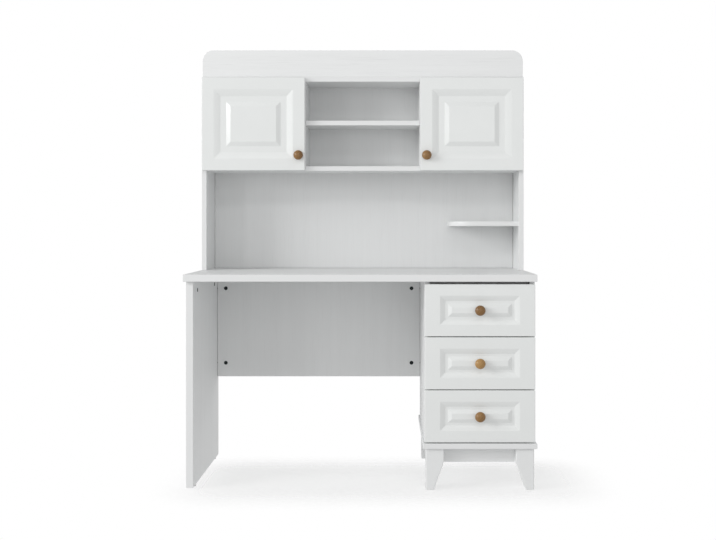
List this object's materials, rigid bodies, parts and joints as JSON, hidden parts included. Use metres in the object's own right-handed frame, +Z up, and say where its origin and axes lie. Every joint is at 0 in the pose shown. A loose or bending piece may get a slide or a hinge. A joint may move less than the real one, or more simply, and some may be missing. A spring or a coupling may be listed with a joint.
{
  "type": "student desk with hutch",
  "caption": "White student desk with a drawer pedestal on tapered legs and a hutch with raised-panel doors, an open niche, a corner shelf and a round-cornered crown.",
  "frame": {"origin": "on the floor, under the centre of the desk's bounding box, drawer knobs included", "axes": "+X to the sitter's right, +Y from the sitter to the wall, +Z up"},
  "size_m": [1.23, 0.617, 1.59],
  "materials": {
    "white_board": "satin white melamine and membrane foil on board",
    "turned_wood": "clear-lacquered turned wood",
    "zinc_steel": "zinc plated",
    "dark_cam": "dark die-cast",
    "glide_plastic": "moulded"
  },
  "bodies": {
    "carcass": {"desktop": "white_board", "left_end_panel": "white_board", "modesty_panel": "white_board", "pedestal_left_side": "white_board", "pedestal_right_side": "white_board", "pedestal_top_rails": "white_board", "pedestal_back_panel": "white_board", "pedestal_base_board": "white_board", "front_left_leg": "white_board", "front_right_leg": "white_board", "rear_left_leg": "white_board", "rear_right_leg": "white_board", "front_apron": "white_board", "rear_apron": "white_board", "side_aprons": "white_board", "hutch_left_side": "white_board", "hutch_right_side": "white_board", "hutch_top_board": "white_board", "hutch_bottom_board": "white_board", "left_divider": "white_board", "right_divider": "white_board", "niche_shelf": "white_board", "corner_shelf": "white_board", "hutch_back_panel": "white_board", "crown_board": "white_board", "dowels": "turned_wood", "cam_fittings": "dark_cam", "runner_channels": "zinc_steel", "hinge_arms": "zinc_steel", "hinge_plates": "zinc_steel", "shelf_pins": "zinc_steel", "floor_glides": "glide_plastic", "leg_pads": "glide_plastic"},
    "lower_drawer": {"lower_drawer_front": "white_board", "lower_drawer_box": "white_board", "lower_drawer_bottom": "white_board", "lower_drawer_knob": "turned_wood", "lower_drawer_knob_screw": "zinc_steel", "lower_drawer_rails": "zinc_steel"},
    "middle_drawer": {"middle_drawer_front": "white_board", "middle_drawer_box": "white_board", "middle_drawer_bottom": "white_board", "middle_drawer_knob": "turned_wood", "middle_drawer_knob_screw": "zinc_steel", "middle_drawer_rails": "zinc_steel"},
    "upper_drawer": {"upper_drawer_front": "white_board", "upper_drawer_box": "white_board", "upper_drawer_bottom": "white_board", "upper_drawer_knob": "turned_wood", "upper_drawer_knob_screw": "zinc_steel", "upper_drawer_rails": "zinc_steel"},
    "left_door": {"left_door": "white_board", "left_hinge_cups": "zinc_steel", "left_door_knob": "turned_wood", "left_door_knob_screw": "zinc_steel"},
    "right_door": {"right_door": "white_board", "right_hinge_cups": "zinc_steel", "right_door_knob": "turned_wood", "right_door_knob_screw": "zinc_steel"}
  },
  "joints": [
    {"name": "lower_drawer_slide", "type": "slide", "parent": "carcass", "child": "lower_drawer", "axis": [0, -1, 0], "range_m": [0, 0.33]},
    {"name": "middle_drawer_slide", "type": "slide", "parent": "carcass", "child": "middle_drawer", "axis": [0, -1, 0], "range_m": [0, 0.33]},
    {"name": "upper_drawer_slide", "type": "slide", "parent": "carcass", "child": "upper_drawer", "axis": [0, -1, 0], "range_m": [0, 0.33]},
    {"name": "left_door_hinge", "type": "hinge", "parent": "carcass", "child": "left_door", "pos_m": [-0.604, 0.0895, 1.307], "axis": [0, 0, -1], "range_deg": [0, 95]},
    {"name": "right_door_hinge", "type": "hinge", "parent": "carcass", "child": "right_door", "pos_m": [0.604, 0.0895, 1.307], "axis": [0, 0, 1], "range_deg": [0, 95]}
  ]
}
